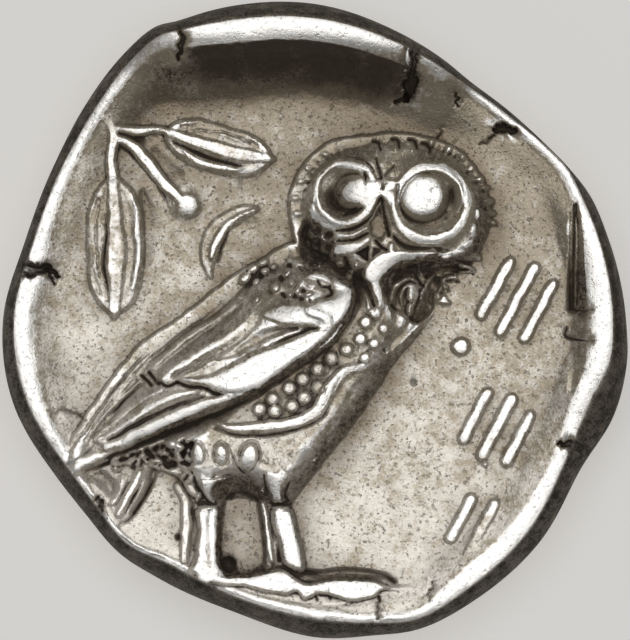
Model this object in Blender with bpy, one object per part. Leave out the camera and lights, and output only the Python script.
"""A silver tetradrachm, struck by hand, lying with its owl side up.

One solid: a thick, uneven flan with an owl, an olive sprig and a crescent in a shallow square on
top, and a worn helmeted head underneath. Each side is a height map, pressed with ridges, bosses and
raised areas the way a die is cut, and laid on one closed sheet.

Sizes are in millimetres and MM turns them into metres. X runs to the right of the owl side, Y to
its top, and Z up, with the origin under the middle of the coin, on the table.
"""

import math

import bmesh
import bpy
import numpy as np

MM = 0.001
COLLECTION = "tetradrachm_coin"
NAME = "coin"

# Flan, as heights over the table.
OWL_FIELD = 4.56
HEAD_FIELD = 1.15
HEAD_FIELD_DISH = 0.95
EDGE_MIDDLE = 3.0
EDGE_BAND = 0.3
WORN_FLAT = 0.02

# Grid of the height maps and of the sheet, and the share of its triangles that stays.
MAP_CELL = 0.08
MAP_HALF = 13.6
SHEET_CELLS = 190
KEEP = 0.0585
CREST_SHARE = 0.93

# Round the rim: angle, edge radius, crest radius, top of the wall, run of the wall, rise of the rim.
RIM = [
    (0, 12.2, 11.5, 10.9, 1.0, 0.35),
    (15, 11.95, 11.4, 10.8, 0.95, 0.35),
    (24, 11.85, 11.45, 10.9, 1.0, 0.2),
    (31, 11.6, 11.5, 11.1, 1.2, 0.12),
    (38, 11.35, 11.25, 10.9, 1.4, 0.12),
    (46, 11.2, 11.0, 10.7, 1.6, 0.1),
    (56, 11.15, 10.9, 10.5, 2.0, 0.25),
    (64, 11.4, 11.0, 10.4, 2.2, 0.8),
    (75, 11.8, 11.3, 10.4, 2.1, 1.15),
    (90, 12.4, 11.75, 10.45, 2.0, 1.25),
    (105, 12.75, 12.1, 10.75, 2.1, 1.25),
    (114, 12.9, 12.4, 11.1, 2.1, 1.1),
    (119, 13.1, 12.6, 11.3, 2.0, 0.9),
    (126, 12.85, 12.35, 11.9, 1.8, 0.5),
    (138, 12.3, 11.8, 11.5, 1.6, 0.25),
    (150, 11.9, 11.5, 11.2, 1.6, 0.15),
    (165, 11.8, 11.4, 11.1, 1.6, 0.15),
    (180, 12.25, 11.75, 11.4, 1.6, 0.2),
    (195, 12.3, 11.65, 11.3, 1.6, 0.2),
    (210, 11.9, 11.2, 11.1, 1.2, 0.1),
    (220, 11.8, 11.15, 11.0, 1.0, 0.05),
    (230, 11.95, 11.35, 11.2, 1.0, 0.05),
    (240, 11.85, 11.0, 10.9, 1.0, 0.05),
    (255, 11.9, 11.2, 11.0, 0.8, 0.08),
    (270, 12.45, 11.6, 11.3, 0.8, 0.1),
    (280, 12.58, 11.95, 11.6, 1.0, 0.12),
    (289, 12.8, 12.3, 11.8, 1.2, 0.15),
    (300, 12.65, 12.0, 11.4, 1.4, 0.2),
    (315, 12.4, 11.65, 11.1, 1.4, 0.2),
    (330, 11.95, 11.15, 10.7, 1.4, 0.2),
    (342, 12.3, 11.05, 10.6, 1.2, 0.25),
    (352, 12.35, 11.45, 10.8, 1.1, 0.35),
]
EDGE, CREST, WALL_TOP, WALL_RUN, RIM_RISE = range(1, 6)
TALL_WALL = (0.4, 0.9)
TALL_WALL_SWEEP = 1.9
RIM_BLEND = 0.06

# Owl: the outlines of its masses and the heights of its relief.
HEAD = [
    (-0.5, 3.0), (-0.72, 4.3), (-0.45, 5.4), (0.1, 6.2), (0.9, 6.75), (1.9, 7.0), (3.1, 7.12),
    (4.2, 7.0), (5.1, 6.6), (5.9, 6.1), (6.5, 5.4), (6.8, 4.6), (6.75, 3.7), (6.6, 2.9),
    (6.1, 2.25), (5.0, 1.95), (3.4, 1.6), (2.0, 1.3), (0.9, 1.8), (0.0, 2.4),
]
WING_BACK = [
    (1.2, 2.3), (0.3, 2.75), (-0.8, 2.75), (-1.8, 2.15), (-2.8, 1.6), (-5.0, -0.1), (-6.4, -1.02),
    (-7.2, -1.9), (-8.6, -3.8), (-9.5, -5.4),
]
WING_FRONT = [
    (1.5, 1.6), (1.58, 1.0), (1.35, 0.3), (0.2, -0.95), (-1.0, -1.85), (-2.4, -2.95),
    (-3.7, -3.55), (-5.0, -4.05), (-7.0, -4.85), (-8.3, -5.4), (-9.2, -6.0),
]
WING_TIP = (-9.5, -5.9)
BREAST = [
    (2.4, 2.2), (3.6, 2.3), (4.6, 2.0), (4.85, 1.2), (4.45, 0.0), (3.05, -1.8), (2.25, -3.05),
    (1.25, -4.45), (-0.35, -6.4), (-0.95, -7.15), (-1.8, -7.2), (-2.3, -6.75), (-3.1, -6.5),
    (-3.7, -6.8), (-4.0, -7.25), (-4.6, -6.9), (-5.2, -6.4), (-5.7, -5.6), (-6.4, -4.9),
    (-4.0, -3.2), (-1.0, -1.0), (1.0, 1.0),
]
HEAD_RISE = 0.66
HEAD_RUN = 0.95
BREAST_RISE = 0.6
BREAST_RUN = 1.05
WING_RISE = ([0.0, 0.25, 0.6, 0.85, 1.0], [0.95, 0.92, 0.72, 0.45, 0.28])
SECOND_STRIKE = [(-0.33, 0.22), (-0.1, 0.25)]
SECOND_STRIKE_RISE = 0.16
WING_BACK_RUN = 1.5
WING_FRONT_RUN = 0.3
WING_FRONT_FOOT = 0.55
STEP_RUN = 0.12
EYE_DISH = (0.12, 0.45, 0.41)
EYE_BALL = (0.36, 0.5, 1.35)
LEAF_RISE = 0.34
LEAF_BORDER = 0.3
LEAF_VALLEY = 0.14

# Each row of pellets on the breast, as a line and how many stand along it.
PELLET_ROWS = [
    ([(-2.15, -3.45), (-0.45, -2.3), (0.65, -1.6), (2.05, -0.1)], 9),
    ([(-1.5, -3.55), (-0.38, -3.1), (0.5, -2.4)], 4),
]
PELLET_RADIUS = 0.24
PELLET_RISE = 0.17

# Writing gives way to rows of plain strokes: middle of the row, lengths of its strokes, pitch.
STROKE_ROWS = [
    ((7.9, 0.8), (2.3, 2.8, 2.3), 0.95),
    ((7.1, -4.2), (2.0, 2.5, 2.0), 0.95),
    ((6.5, -8.2), (1.7, 2.2, 1.7), 0.9),
]
STROKE_TURN = math.radians(62)
STROKE_WIDTH = 0.5
STROKE_RISE = 0.3

# Head side: a helmeted head in profile, facing +X of its own side, by plain proportions.
# Its face is set out in thirds: hairline to brow, brow to nose, nose to chin.
HAIRLINE = 4.4
FACE_THIRD = 2.7
BROW_OUT = 6.2
FACE = [
    (-0.15, -0.3), (0.0, 0.35), (0.06, 0.95), (0.24, 1.4), (0.46, 1.82), (0.36, 1.95), (0.14, 2.02),
    (0.2, 2.16), (0.24, 2.27), (0.08, 2.36), (0.19, 2.46), (0.16, 2.58), (0.03, 2.68), (0.12, 2.86),
    (0.0, 3.04), (-0.4, 3.12), (-0.78, 3.28), (-0.98, 3.8), (-0.9, 4.2), (-0.5, 4.62),
]
NECK = [
    (2.0, -9.1), (-0.8, -9.5), (-2.9, -8.9), (-3.0, -6.6), (-3.6, -4.4), (-4.6, -3.0), (-3.0, 1.0), (1.0, 5.0),
]
HELMET = [
    (6.5, 4.35), (4.9, 4.35), (3.2, 3.95), (1.6, 3.1), (0.2, 1.9), (-0.9, 0.5), (-1.9, -0.9), (-3.4, -2.2),
    (-5.6, -3.6), (-6.2, -2.6), (-6.5, 0.6), (-6.0, 3.7), (-4.6, 6.4), (-1.9, 8.1), (1.2, 8.4), (4.0, 7.4),
    (5.9, 5.7),
]
VISOR = [
    (6.6, 4.6), (4.9, 4.65), (3.1, 4.25), (1.4, 3.35), (0.0, 2.1), (-1.2, 0.6), (-2.3, -0.9), (-3.8, -2.1),
    (-5.7, -3.4),
]
CREST_LINE = [
    (5.6, 7.4), (3.4, 8.95), (0.4, 9.65), (-2.8, 9.05), (-5.5, 7.25), (-7.4, 4.5), (-8.15, 1.2), (-8.0, -2.2),
    (-7.2, -5.4),
]
CREST_WIDTHS = (1.1, 2.0, 2.3, 2.4, 2.4, 2.3, 2.1, 1.7, 1.0)
CREST_MIDDLE = np.array([-0.6, 1.2])
CREST_LINES = 15
FACE_RISE = 0.95
HELMET_RISE = 1.4
CREST_RISE = 0.72
VISOR_RISE = 0.2
CURLS = 8
CURL_ROWS = (0.0, 0.75)
LOCKS = 4
BEADS = 7
LEAVES = 3

# Wear: how far a high point stands over the mean level round it.
WEAR_REACH = 0.75
WEAR_STAND = 0.13
WEAR_BLEND = 0.10
WEAR_LOSS = 0.8

# Finish of the metal.
SILVER_COLOUR = (0.62, 0.59, 0.53, 1)
SILVER_METALLIC = 0.9
SILVER_ROUGHNESS = 0.42


def spline(points, closed=False, steps=8):
    """Points on a smooth curve through the given ones (Catmull-Rom)."""
    p = np.asarray(points, float)
    if closed:
        p = np.vstack([p[-1], p, p[0], p[1]])
    else:
        p = np.vstack([2 * p[0] - p[1], p, 2 * p[-1] - p[-2]])
    t = np.linspace(0, 1, steps, endpoint=False)[:, None]
    spans = [
        0.5 * (2 * b + (c - a) * t + (2 * a - 5 * b + 4 * c - d) * t**2 + (3 * b - a - 3 * c + d) * t**3)
        for a, b, c, d in zip(p[:-3], p[1:-2], p[2:-1], p[3:])
    ]
    line = np.vstack(spans)
    return line if closed else np.vstack([line, p[-2]])


def round_ridge(share):
    """Height over a ridge's half width: 1 on its line, 0 at its side."""
    return np.sqrt(np.clip(1 - share**2, 0, None))


def round_edge(share):
    """Height over the run of a rounded edge: 0 outside, 1 on the flat."""
    return np.sqrt(1 - (1 - np.clip(share, 0, 1)) ** 2)


def soft_step(share):
    """A smooth step from 0 to 1."""
    share = np.clip(share, 0, 1)
    return share * share * (3 - 2 * share)


def blur(z, cells):
    """The height map seen through a round soft brush, this many cells wide."""
    pad = int(3 * cells) + 1
    wide = np.pad(z, pad, mode="edge")
    down = np.fft.fftfreq(wide.shape[0])[:, None]
    across = np.fft.rfftfreq(wide.shape[1])[None, :]
    brush = np.exp(-2 * (math.pi * cells) ** 2 * (down**2 + across**2))
    soft = np.fft.irfft2(np.fft.rfft2(wide) * brush, s=wide.shape)
    return soft[pad:-pad, pad:-pad]


class Die:
    """A square height map that ridges, bosses and raised areas are pressed into."""

    def __init__(self, shift=(0.0, 0.0)):
        """Make an empty map. A shift moves all that is pressed into it."""
        side = np.arange(-MAP_HALF, MAP_HALF + MAP_CELL / 2, MAP_CELL)
        self.x, self.y = np.meshgrid(side - shift[0], side - shift[1])
        self.z = np.zeros_like(self.x)

    def window(self, points, margin):
        """The cells in the box round the points."""
        low, high = points.min(0) - margin, points.max(0) + margin
        inside = (self.x > low[0]) & (self.x < high[0]) & (self.y > low[1]) & (self.y < high[1])
        return np.nonzero(inside)

    def along(self, line, at):
        """Distance from the line and share of its length, for the cells."""
        x, y = self.x[at], self.y[at]
        least, share = np.full(x.shape, np.inf), np.zeros(x.shape)
        runs = np.hypot(*np.diff(line, axis=0).T)
        starts = np.concatenate([[0], np.cumsum(runs)])
        for (ax, ay), (bx, by), run, start in zip(line[:-1], line[1:], runs, starts):
            if run == 0:
                continue
            t = np.clip(((x - ax) * (bx - ax) + (y - ay) * (by - ay)) / run**2, 0, 1)
            gap = (x - ax - t * (bx - ax)) ** 2 + (y - ay - t * (by - ay)) ** 2
            nearer = gap < least
            least = np.where(nearer, gap, least)
            share = np.where(nearer, (start + t * run) / starts[-1], share)
        return np.sqrt(least), share

    def inside(self, outline, at):
        """Whether each cell is inside the closed outline."""
        x, y = self.x[at], self.y[at]
        odd = np.zeros(x.shape, bool)
        for (ax, ay), (bx, by) in zip(outline, np.roll(outline, -1, axis=0)):
            if ay != by:
                odd ^= ((ay > y) != (by > y)) & (x < (bx - ax) * (y - ay) / (by - ay) + ax)
        return odd

    def press(self, at, height, how):
        """Add, cut or lay a shape of this height over the cells."""
        if how == "add":
            self.z[at] += height
        elif how == "cut":
            self.z[at] -= height
        else:
            self.z[at] = np.maximum(self.z[at], height)

    def ridge(self, points, width, height, how="add", ends=(1.0, 1.0)):
        """A round ridge along a curve, with its width and share of height read along it."""
        line = spline(points)
        half = np.atleast_1d(np.asarray(width, float)) / 2
        at = self.window(line, half.max())
        gap, share = self.along(line, at)
        half_here = np.interp(share, np.linspace(0, 1, len(half)), half)
        height_here = height * np.interp(share, np.linspace(0, 1, len(ends)), ends)
        self.press(at, height_here * round_ridge(gap / half_here), how)

    def boss(self, centre, radius, height, how="add"):
        """A round or oval dome. A radius is a number, or a pair for X and Y."""
        rx, ry = radius if isinstance(radius, tuple) else (radius, radius)
        at = self.window(np.array([centre], float), max(rx, ry))
        share = np.hypot((self.x[at] - centre[0]) / rx, (self.y[at] - centre[1]) / ry)
        self.press(at, height * round_ridge(np.clip(share, 0, 1)), how)

    def raised(self, points, height, run, how="lay", smooth=True):
        """A raised area in an outline, with a rounded edge of this run."""
        outline = spline(points, closed=True) if smooth else np.asarray(points, float)
        at = self.window(outline, MAP_CELL)
        gap, _ = self.along(np.vstack([outline, outline[:1]]), at)
        body = height * round_edge(gap / run)
        self.press(at, np.where(self.inside(outline, at), body, 0), how)

    def ring(self, centre, radius, width, height):
        """A round ridge on a circle."""
        gap = np.hypot(self.x - centre[0], self.y - centre[1]) - radius
        self.z += height * round_ridge(np.clip(np.abs(gap) / (width / 2), 0, 1))

    def dish(self, centre, radius, run, depth):
        """A round hollow with a sloping side."""
        gap = np.hypot(self.x - centre[0], self.y - centre[1])
        self.z -= depth * soft_step((radius - gap) / run)

    def wear(self):
        """Rub the high points down towards the mean level round each."""
        over = self.z - blur(self.z, WEAR_REACH / MAP_CELL) - WEAR_STAND
        share = np.clip(0.5 + 0.5 * over / WEAR_BLEND, 0, 1)
        self.z -= share * over * WEAR_LOSS + WEAR_BLEND * share * (1 - share) / 2

    def read(self, x, y):
        """Height at any points, straight between the cells."""
        i = np.clip((x + MAP_HALF) / MAP_CELL, 0, self.z.shape[1] - 1.001)
        j = np.clip((y + MAP_HALF) / MAP_CELL, 0, self.z.shape[0] - 1.001)
        i0, j0 = i.astype(int), j.astype(int)
        u, v = i - i0, j - j0
        low = self.z[j0, i0] * (1 - u) + self.z[j0, i0 + 1] * u
        high = self.z[j0 + 1, i0] * (1 - u) + self.z[j0 + 1, i0 + 1] * u
        return low * (1 - v) + high * v


def round_rim(degrees, column):
    """A rim size at these angles, smooth all the way round."""
    angles = np.array([row[0] for row in RIM], float)
    values = np.array([row[column] for row in RIM], float)
    turns = np.concatenate([angles - 360, angles, angles + 360])
    curve = spline(np.stack([turns, np.tile(values, 3)], axis=1))
    return np.interp(np.mod(degrees, 360), curve[:, 0], curve[:, 1])


def press_rim(die):
    """The wall that the square punch left, rising from the field to the rim."""
    radius = np.hypot(die.x, die.y)
    degrees = np.degrees(np.arctan2(die.y, die.x))
    run, rise = round_rim(degrees, WALL_RUN), round_rim(degrees, RIM_RISE)
    share = np.clip((radius - round_rim(degrees, WALL_TOP)) / run + 1, 0, 1)
    tall = np.clip((rise - TALL_WALL[0]) / (TALL_WALL[1] - TALL_WALL[0]), 0, 1)
    wall = rise * ((1 - tall) * soft_step(share) + tall * share**TALL_WALL_SWEEP)
    part = np.clip(0.5 + 0.5 * (wall - die.z) / RIM_BLEND, 0, 1)
    die.z = die.z * (1 - part) + wall * part + RIM_BLEND * part * (1 - part)


def press_owl_masses(die):
    """Breast, wing and head as smooth bodies."""
    die.raised(BREAST, BREAST_RISE, BREAST_RUN)
    outline = spline(WING_BACK + [WING_TIP] + WING_FRONT[::-1], closed=True)
    at = die.window(outline, MAP_CELL)
    from_back, back_share = die.along(spline(WING_BACK), at)
    from_front, front_share = die.along(spline(WING_FRONT), at)
    across = from_front + from_back + MAP_CELL / 100
    share = (back_share * from_front + front_share * from_back) / across
    body = np.interp(share, *WING_RISE) * round_edge(from_back / WING_BACK_RUN)
    body *= WING_FRONT_FOOT + (1 - WING_FRONT_FOOT) * round_edge(from_front / WING_FRONT_RUN)
    die.press(at, np.where(die.inside(outline, at), body, 0), "lay")
    die.raised(HEAD, HEAD_RISE, HEAD_RUN)


def press_second_strike(die):
    """The low step beside head and wing, where the coin moved between two blows."""
    for shift in SECOND_STRIKE:
        ghost = Die(shift)
        ghost.raised(HEAD, SECOND_STRIKE_RISE, STEP_RUN)
        ghost.raised(WING_BACK + [WING_TIP], SECOND_STRIKE_RISE, STEP_RUN)
        die.z = np.maximum(die.z, ghost.z)


def press_eye(die, centre, ring, ball_centre, ball, rise):
    """A ring round a dish with the ball of the eye in it."""
    radius, width = ring
    lip, run, depth = EYE_DISH
    foot, dome, roundness = EYE_BALL
    die.dish(centre, radius - width / 2 + lip, run, depth)
    die.ring(centre, radius, width, rise)
    gap = np.hypot(die.x - ball_centre[0], die.y - ball_centre[1])
    body = foot + dome * round_ridge(np.clip(gap / ball, 0, 1) ** roundness)
    die.z = np.where(gap < ball, np.maximum(die.z, body), die.z)


def press_owl_face(die):
    """Eyes, beak, cheek plumes and the collar under them."""
    press_eye(die, (1.22, 4.95), (1.17, 0.42), (1.6, 4.95), 0.8, 0.2)
    press_eye(die, (4.45, 4.6), (1.5, 0.5), (4.25, 4.72), 0.92, 0.24)
    die.ridge([(1.9, 5.15), (2.6, 5.05), (3.2, 4.95)], (0.5, 0.55, 0.4), 0.12, ends=(0.5, 1, 0.5))
    die.ridge([(2.6, 5.35), (2.42, 6.4)], (0.2, 0.35), 0.22, "cut")
    die.raised([(2.56, 4.7), (2.95, 3.5), (2.5, 3.2), (1.95, 3.65)], 0.22, 0.15, "cut", smooth=False)
    die.ridge([(2.4, 3.6), (2.35, 3.1), (2.1, 2.6)], (0.35, 0.4, 0.25), 0.16)
    die.ridge([(0.85, 2.7), (1.3, 2.78), (1.95, 2.98)], (0.35, 0.5, 0.2), 0.22)
    die.ridge([(0.75, 3.35), (1.4, 3.45), (2.1, 3.75)], (0.2, 0.3, 0.2), 0.14)
    pit = [(-0.5, 3.9), (0.1, 3.6), (0.6, 3.3), (0.75, 2.5), (0.2, 2.3), (-0.6, 2.55)]
    die.raised(pit, 0.3, 0.35, "cut")
    die.ridge(
        [(4.75, 2.7), (4.1, 2.45), (3.3, 2.4), (2.8, 2.2), (2.3, 1.85), (1.95, 1.7)],
        (0.35, 0.45, 0.5, 0.65, 0.8, 0.7), 0.3, ends=(0.6, 0.9, 1, 1, 1),
    )
    die.ridge([(2.0, 1.7), (2.15, 1.3), (2.45, 0.3)], (0.6, 0.45, 0.3), 0.16)


def press_curl(die):
    """The hollow under the right eye with its curl of plumes, and the plumes beside it."""
    hollow = [
        (3.0, 2.0), (3.7, 2.2), (4.6, 2.15), (5.3, 2.0), (5.0, 1.2), (4.6, 0.3), (3.9, 0.0),
        (3.1, 0.3), (2.7, 1.0),
    ]
    die.raised(hollow, 0.34, 0.5, "cut")
    die.ridge([(4.1, 1.85), (3.4, 1.65), (3.1, 1.1), (3.2, 0.5)], 0.26, 0.2, ends=(0.3, 1, 0.7))
    die.boss((3.76, 0.95), (0.2, 0.4), 0.18)
    die.ridge([(6.15, 1.88), (5.5, 1.95), (4.9, 1.75), (4.4, 1.3)], (0.25, 0.3, 0.2), 0.2)
    for degrees in range(-40, 80, 15):
        angle = math.radians(degrees)
        die.boss((4.45 + 2.22 * math.cos(angle), 4.6 + 2.1 * math.sin(angle)), 0.22, 0.12)


def press_wing(die):
    """The broad band down the wing, the coverts over it and the long feathers under it."""
    band = [(0.9, 1.35), (1.05, 0.7), (0.6, -0.05), (-1.4, -1.55), (-2.6, -2.15), (-3.8, -2.4), (-5.1, -2.35)]
    die.ridge(band, (0.8, 1.0, 1.0, 1.15, 1.25, 0.9, 0.35), 0.22, ends=(1, 1, 1, 1, 0.9, 0.7))
    die.ridge([(0.8, 1.2), (0.0, 0.55), (-1.1, 0.35)], (0.9, 0.8, 0.5), 0.18, ends=(1, 0.9, 0.3))
    die.ridge([(-1.9, -1.02), (-1.0, -0.62), (0.2, -0.27)], (0.1, 0.26, 0.1), 0.16, "cut")
    for start, middle, end, width, rise in [
        ((-3.1, 0.75), (-4.7, -0.4), (-6.35, -1.75), 0.24, 0.1),
        ((-2.75, 0.62), (-4.4, -0.7), (-6.2, -2.0), 0.24, 0.12),
        ((-2.3, 0.35), (-4.0, -1.05), (-6.0, -2.35), 0.34, 0.16),
        ((-2.2, -0.3), (-3.6, -1.4), (-5.2, -2.2), 0.3, 0.12),
    ]:
        die.ridge([start, middle, end], (width / 2, width, width), rise, ends=(0.4, 1, 0.8))
    die.ridge([(-6.6, -2.3), (-6.1, -2.55), (-5.0, -2.55), (-3.75, -2.88)], 0.18, 0.14, "cut")
    for start, middle, end, width, rise in [
        ((-3.0, -2.95), (-5.5, -3.72), (-8.2, -4.95), 0.42, 0.24),
        ((-4.6, -2.95), (-6.6, -3.6), (-8.3, -4.75), 0.3, 0.14),
        ((-6.0, -2.85), (-7.4, -3.75), (-8.7, -4.9), 0.24, 0.1),
        ((-7.0, -2.65), (-8.0, -3.5), (-8.9, -4.8), 0.24, 0.08),
    ]:
        die.ridge([start, middle, end], (width * 0.6, width, width / 2), rise, ends=(0.6, 1, 0.4))
    for centre in [(-2.3, 1.75), (-1.55, 1.3), (-1.1, 1.9), (-0.6, 1.1), (-1.75, 0.6)]:
        die.boss(centre, 0.26, 0.12)


def press_breast(die):
    """The step below the wing, the pellets of the breast, its lower ridge and the belly."""
    step = [(1.62, 1.5), (1.7, 1.0), (1.5, 0.25), (0.3, -1.05), (-0.95, -1.98), (-2.35, -3.08), (-3.6, -3.62)]
    die.ridge(step, 0.26, 0.2, "cut")
    ridge = [
        (2.1, -1.77), (1.2, -2.0), (0.6, -2.65), (0.1, -3.5), (-0.4, -3.85), (-1.0, -4.05),
        (-2.0, -4.15), (-3.2, -4.25), (-3.9, -4.0),
    ]
    die.ridge(ridge, (0.12, 0.3, 0.42, 0.5, 0.45, 0.42, 0.42, 0.36, 0.15), 0.26, ends=(0.5, 1, 1, 1, 0.9, 0.5))
    for points, count in PELLET_ROWS:
        row = spline(points)
        for k in range(count):
            die.boss(row[round(k * (len(row) - 1) / (count - 1))], PELLET_RADIUS, PELLET_RISE)
    drops = [((-4.58, -5.3), (0.3, 0.45)), ((-3.65, -5.28), (0.3, 0.48)), ((-2.7, -5.4), (0.42, 0.62))]
    for centre, radius in drops:
        die.boss(centre, radius, 0.2)


def press_legs(die):
    """Thighs, shins and the folds beside them, the ground line with the toes, and the tail."""
    die.ridge([(-4.55, -6.2), (-4.2, -6.6), (-4.05, -7.1)], (0.45, 0.5, 0.2), 0.18)
    die.ridge([(-1.75, -5.9), (-1.5, -6.4), (-1.45, -6.95)], (0.4, 0.5, 0.2), 0.2)
    left = [
        (-4.65, -7.25), (-3.65, -7.2), (-3.55, -8.3), (-3.7, -9.3), (-3.5, -9.95), (-4.95, -9.7), (-4.75, -8.4),
    ]
    right = [(-1.7, -7.3), (-0.95, -7.3), (-0.5, -8.4), (-0.35, -9.85), (-1.35, -9.8), (-1.65, -8.5)]
    die.raised(left, 0.36, 0.2)
    die.raised(right, 0.38, 0.22)
    die.ridge([(-4.5, -7.7), (-4.6, -8.5), (-4.7, -9.4), (-4.4, -9.9)], 0.3, 0.14)
    die.ridge([(-3.85, -7.4), (-3.8, -8.3), (-3.9, -9.2), (-4.0, -9.9)], 0.34, 0.14)
    die.ridge([(-1.3, -7.5), (-1.05, -8.2), (-0.8, -9.0), (-0.5, -9.8)], 0.42, 0.14)
    die.ridge([(-5.35, -6.7), (-5.0, -7.2), (-4.98, -8.0), (-5.0, -9.2)], 0.32, 0.16, "lay")
    die.ridge([(-2.05, -7.1), (-1.9, -7.7), (-1.85, -8.6), (-1.65, -9.5)], 0.32, 0.16, "lay")
    ground = [
        (-4.4, -9.85), (-3.4, -10.15), (-2.5, -10.3), (-1.3, -10.35), (-0.2, -10.75), (0.6, -10.7),
        (1.6, -10.6), (2.7, -10.65),
    ]
    die.ridge(ground, (0.3, 0.5, 0.62, 0.75, 0.5, 0.5, 0.7, 0.3), 0.46, "lay", ends=(0.7, 1, 1, 1, 1, 0.8))
    die.ridge([(-6.35, -5.6), (-7.2, -6.6), (-7.8, -7.7)], (0.3, 0.7, 0.75), 0.22, "lay")
    die.ridge([(-6.6, -5.6), (-7.1, -6.2), (-7.45, -7.2), (-7.6, -7.8)], (0.2, 0.28, 0.34, 0.2), 0.18)
    die.ridge([(-7.6, -5.9), (-7.95, -6.5), (-8.2, -7.1)], (0.3, 0.45, 0.35), 0.2, "lay")


def press_leaf(die, midrib, width):
    """A leaf: a raised border on each side of a stout midrib."""
    line = spline(midrib)
    at = die.window(line, width)
    gap, share = die.along(line, at)
    half = width / 2 * np.sqrt(np.clip(1 - np.abs(2 * share - 1) ** 2.2, 0.02, 1))
    inward = (half - gap) / LEAF_BORDER
    border = LEAF_RISE * round_edge(inward) - LEAF_VALLEY * soft_step(inward - 0.4)
    die.press(at, np.where(inward > 0, border, 0), "lay")
    die.ridge(midrib, (0.26, 0.5, 0.45, 0.2), 0.2, ends=(0.8, 1, 1, 0.6))


def press_sprig(die):
    """Two olive leaves and a berry on their stalks, and the crescent beside them."""
    die.ridge([(-8.6, 8.2), (-8.1, 7.6), (-7.95, 7.0), (-8.0, 6.2), (-7.9, 5.4)], 0.36, 0.32, "lay")
    die.ridge([(-7.85, 7.3), (-7.0, 7.48), (-6.3, 7.45), (-5.7, 7.4)], 0.32, 0.28, "lay")
    press_leaf(die, [(-7.9, 5.45), (-7.86, 4.0), (-7.88, 2.2), (-7.82, 0.2)], 2.2)
    press_leaf(die, [(-5.7, 7.35), (-4.6, 7.05), (-3.4, 6.72), (-1.75, 6.35)], 1.7)
    die.ridge([(-7.75, 7.2), (-7.0, 6.5), (-5.4, 4.85)], (0.3, 0.4, 0.42), 0.32, "lay")
    die.boss((-5.07, 4.5), 0.52, 0.42, "lay")
    crescent = [(-2.2, 4.35), (-3.1, 4.2), (-3.95, 3.5), (-4.25, 2.6), (-4.07, 1.7)]
    die.ridge(crescent, (0.2, 0.62, 0.74, 0.6, 0.15), 0.26, "lay")


def press_stroke_rows(die):
    """Three rows of plain rounded strokes and the pellet beside them."""
    along = np.array([math.cos(STROKE_TURN), math.sin(STROKE_TURN)])
    across = np.array([-along[1], along[0]])
    for centre, lengths, pitch in STROKE_ROWS:
        for k, length in enumerate(lengths):
            middle = np.array(centre) + across * pitch * (k - (len(lengths) - 1) / 2)
            ends = [middle - along * length / 2, middle + along * length / 2]
            die.ridge(ends, STROKE_WIDTH, STROKE_RISE, "lay", ends=(0.9, 1, 0.9))
    die.boss((5.7, -1.05), 0.38, STROKE_RISE, "lay")


def press_damage(die):
    """The cracks that the blow opened in the rim, and a pit."""
    for points, width, depth in [
        ([(-11.6, 2.1), (-11.0, 1.95), (-10.4, 2.0), (-10.0, 1.75)], (0.55, 0.5, 0.35, 0.15), 0.4),
        ([(3.85, 10.9), (3.75, 10.2), (3.68, 9.2), (3.7, 8.5)], (0.3, 0.34, 0.34, 0.15), 0.45),
        ([(7.75, 7.35), (7.35, 7.5), (7.05, 7.5)], (0.3, 0.34, 0.15), 0.3),
        ([(9.95, -4.85), (9.55, -4.85)], (0.35, 0.2), 0.3),
        ([(-5.25, 11.5), (-5.2, 10.8), (-5.35, 10.2)], (0.2, 0.24, 0.15), 0.25),
    ]:
        die.ridge(points, width, depth, "cut")
    die.boss((-3.4, -9.6), 0.34, 0.25, "cut")


def owl_side():
    """The height map of the owl side, over its field."""
    die = Die()
    press_owl_masses(die)
    press_second_strike(die)
    press_owl_face(die)
    press_curl(die)
    press_wing(die)
    press_breast(die)
    press_legs(die)
    press_sprig(die)
    press_stroke_rows(die)
    press_rim(die)
    press_damage(die)
    die.wear()
    return die


def face_point(forward, down):
    """A point of the face, in thirds forward of the brow and down from the hairline."""
    return (BROW_OUT + forward * FACE_THIRD, HAIRLINE - down * FACE_THIRD)


def press_face(die):
    """Face and neck as one mass, with the swell of cheek, jaw and neck."""
    die.raised([face_point(*point) for point in FACE] + NECK, FACE_RISE, 0.9)
    die.boss((4.15, -0.9), (2.7, 2.9), 0.3)
    die.boss((0.4, -6.2), (2.7, 2.7), 0.45)
    jaw = [(1.3, -1.9), (2.0, -3.3), (3.6, -4.0), (5.2, -3.7)]
    die.ridge(jaw, (0.6, 0.8, 0.7, 0.4), 0.14, ends=(0.3, 1, 1, 0.5))


def press_features(die):
    """Eye and brow, the wing of the nose and the mouth, each set out from the face's thirds."""
    x, y = face_point(-0.5, 1.3)
    die.boss((x + 0.1, y), (1.0, 0.65), 0.16, "cut")
    die.boss((x, y), (0.7, 0.4), 0.26)
    brow = [(x - 1.3, y + 0.75), (x - 0.2, y + 1.0), (x + 1.1, y + 0.85)]
    die.ridge(brow, (0.2, 0.36, 0.3), 0.16, ends=(0.2, 1, 0.8))
    die.boss(face_point(0.14, 1.88), (0.42, 0.34), 0.16)
    x, y = face_point(0.08, 2.36)
    die.ridge([(x - 1.15, y - 0.02), (x - 0.5, y - 0.03), (x + 0.15, y)], (0.12, 0.22, 0.16), 0.18, "cut")


def press_ear(die):
    """Ear, its round earring and the beads round the neck."""
    ear = [(1.45, 1.35), (0.8, 1.7), (0.35, 1.05), (0.6, 0.15), (1.0, -0.35)]
    die.ridge(ear, (0.3, 0.4, 0.4, 0.34, 0.44), 0.26)
    die.boss((0.95, -1.35), 0.6, 0.32)
    for k in range(BEADS):
        share = k / (BEADS - 1)
        die.boss((3.35 - 5.7 * share, -6.35 - 1.5 * share + 1.2 * (share - 0.5) ** 2), 0.34, 0.16)


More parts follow.
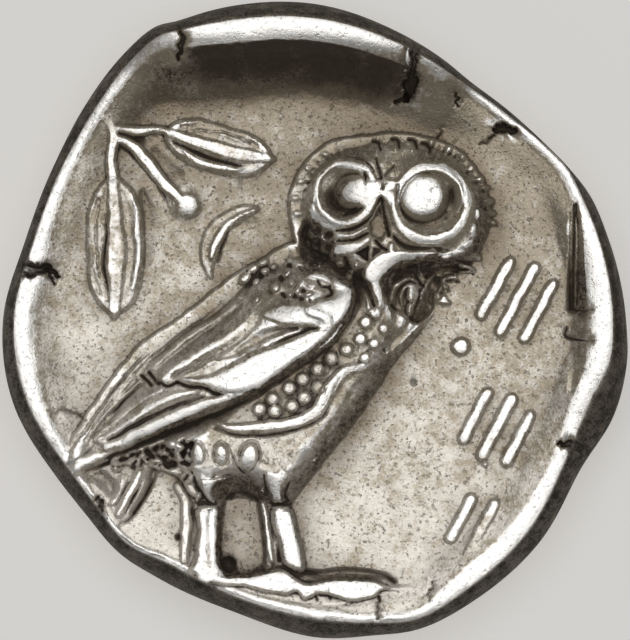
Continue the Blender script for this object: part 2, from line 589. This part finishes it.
def press_hair(die):
    """Rows of curls under the helmet and the locks on the nape."""
    for drop in CURL_ROWS:
        back = (1.6 - 0.3 * drop, 2.1 - 0.75 * drop)
        row = spline([(6.1, 3.7 - drop), (4.5, 3.6 - drop), (2.9, 3.0 - drop), back])
        for k in range(CURLS):
            die.boss(row[round(k * (len(row) - 1) / (CURLS - 1))], 0.42, 0.24)
    for k in range(LOCKS):
        x, y = -0.7 - 0.75 * k, -1.3 - 0.55 * k
        lock = [(x, y), (x - 0.45, y - 1.3), (x - 0.15, y - 2.5), (x - 0.5, y - 3.6 + 0.25 * k)]
        die.ridge(lock, (0.3, 0.5, 0.5, 0.25), 0.2)


def press_helmet(die):
    """Crest with its hair lines, bowl, visor band and plain upright leaves."""
    die.ridge(CREST_LINE, CREST_WIDTHS, CREST_RISE, "lay", ends=(0.7, 1, 1, 1, 0.8))
    die.raised(HELMET, HELMET_RISE, 2.4)
    line = spline(CREST_LINE)
    for k in range(CREST_LINES):
        middle = line[round((0.12 + 0.76 * k / (CREST_LINES - 1)) * (len(line) - 1))]
        out = (middle - CREST_MIDDLE) / np.hypot(*(middle - CREST_MIDDLE))
        die.ridge([middle - out * 0.7, middle + out * 0.75], (0.2, 0.32), 0.16, "cut")
    die.ridge(VISOR, 0.6, VISOR_RISE)
    for k in range(LEAVES):
        foot, up = np.array([4.75 - 1.45 * k, 5.0 - 0.45 * k]), np.array([0.12 - 0.17 * k, 1.0])
        die.ridge([foot, foot + up, foot + up * 2.1], (0.25, 0.85, 0.1), 0.26)


def head_side():
    """The height map of the head side, over its field, in its own X and Y."""
    die = Die()
    press_face(die)
    press_features(die)
    press_ear(die)
    press_hair(die)
    press_helmet(die)
    die.wear()
    return die


def square_sheet():
    """A closed slab one cell thick: a square grid and its extruded copy."""
    bm = bmesh.new()
    bmesh.ops.create_grid(bm, x_segments=SHEET_CELLS, y_segments=SHEET_CELLS, size=1)
    top = bmesh.ops.extrude_face_region(bm, geom=bm.faces[:])
    bmesh.ops.translate(bm, vec=(0, 0, 1), verts=[v for v in top["geom"] if isinstance(v, bmesh.types.BMVert)])
    bmesh.ops.recalc_face_normals(bm, faces=bm.faces[:])
    mesh = bpy.data.meshes.new(NAME)
    bm.to_mesh(mesh)
    bm.free()
    return mesh


def lay_coin(mesh):
    """Move the slab's points onto the two sides and the rolled edge of the coin."""
    count = len(mesh.vertices)
    places = np.empty(count * 3, np.float32)
    mesh.vertices.foreach_get("co", places)
    a, b, level = places.reshape(-1, 3).astype(float).T
    on_top = level > 0.5
    disc_x, disc_y = a * np.sqrt(1 - b * b / 2), b * np.sqrt(1 - a * a / 2)
    share = np.hypot(disc_x, disc_y)
    angle = np.arctan2(disc_y, disc_x)
    degrees = np.degrees(angle)
    edge, crest = round_rim(degrees, EDGE), round_rim(degrees, CREST)
    flat = share <= CREST_SHARE
    roll = np.clip((share - CREST_SHARE) / (1 - CREST_SHARE), 0, 1) * math.pi / 2
    radius = np.where(flat, crest * share / CREST_SHARE, crest + (edge - crest) * np.sin(roll))
    x, y = radius * np.cos(angle), radius * np.sin(angle)
    owl, head = owl_side(), head_side()
    reach = np.minimum(radius, crest)
    flat_x, flat_y = reach * np.cos(angle), reach * np.sin(angle)
    top = OWL_FIELD + owl.read(flat_x, flat_y)
    bottom = HEAD_FIELD + HEAD_FIELD_DISH * (reach / crest) ** 2 - head.read(-flat_x, flat_y)
    bottom = np.maximum(bottom, 0)
    surface = np.where(on_top, top, bottom)
    side = EDGE_MIDDLE + np.where(on_top, EDGE_BAND, -EDGE_BAND) / 2
    z = np.where(flat, surface, side + (surface - side) * np.cos(roll))
    mesh.vertices.foreach_set("co", (np.stack([x, y, z], axis=1) * MM).astype(np.float32).ravel())
    mesh.update()


def facet(coin):
    """Cut the sheet down to the facets that its shape needs."""
    facets = coin.modifiers.new("facets", "DECIMATE")
    facets.decimate_type = "COLLAPSE"
    facets.ratio = KEEP
    facets.use_collapse_triangulate = True
    graph = bpy.context.evaluated_depsgraph_get()
    mesh = bpy.data.meshes.new_from_object(coin.evaluated_get(graph))
    coin.modifiers.clear()
    coin.data = mesh
    mesh.name = NAME


def set_on_table(mesh):
    """Level the worn flats and set the middle of the outline over the origin."""
    places = np.empty(len(mesh.vertices) * 3, np.float32)
    mesh.vertices.foreach_get("co", places)
    places = places.reshape(-1, 3)
    low, high = places.min(0), places.max(0)
    places[:, :2] -= (low[:2] + high[:2]) / 2
    worn = places[:, 2] < WORN_FLAT * MM
    places[worn, 2] = 0
    mesh.vertices.foreach_set("co", places.ravel())
    mesh.update()


def silver():
    """Old silver, bright where it is rubbed and grey elsewhere."""
    material = bpy.data.materials.new("old_silver")
    material.use_nodes = True
    shader = material.node_tree.nodes["Principled BSDF"]
    shader.inputs["Base Color"].default_value = SILVER_COLOUR
    shader.inputs["Metallic"].default_value = SILVER_METALLIC
    shader.inputs["Roughness"].default_value = SILVER_ROUGHNESS
    return material


def make_coin():
    """The coin as one object in its own collection."""
    mesh = square_sheet()
    lay_coin(mesh)
    mesh.materials.append(silver())
    mesh.shade_smooth()
    coin = bpy.data.objects.new(NAME, mesh)
    collection = bpy.data.collections.new(COLLECTION)
    bpy.context.scene.collection.children.link(collection)
    collection.objects.link(coin)
    facet(coin)
    set_on_table(coin.data)


def main():
    """Clear the scene and make the coin."""
    for thing in list(bpy.data.objects):
        bpy.data.objects.remove(thing, do_unlink=True)
    make_coin()


main()
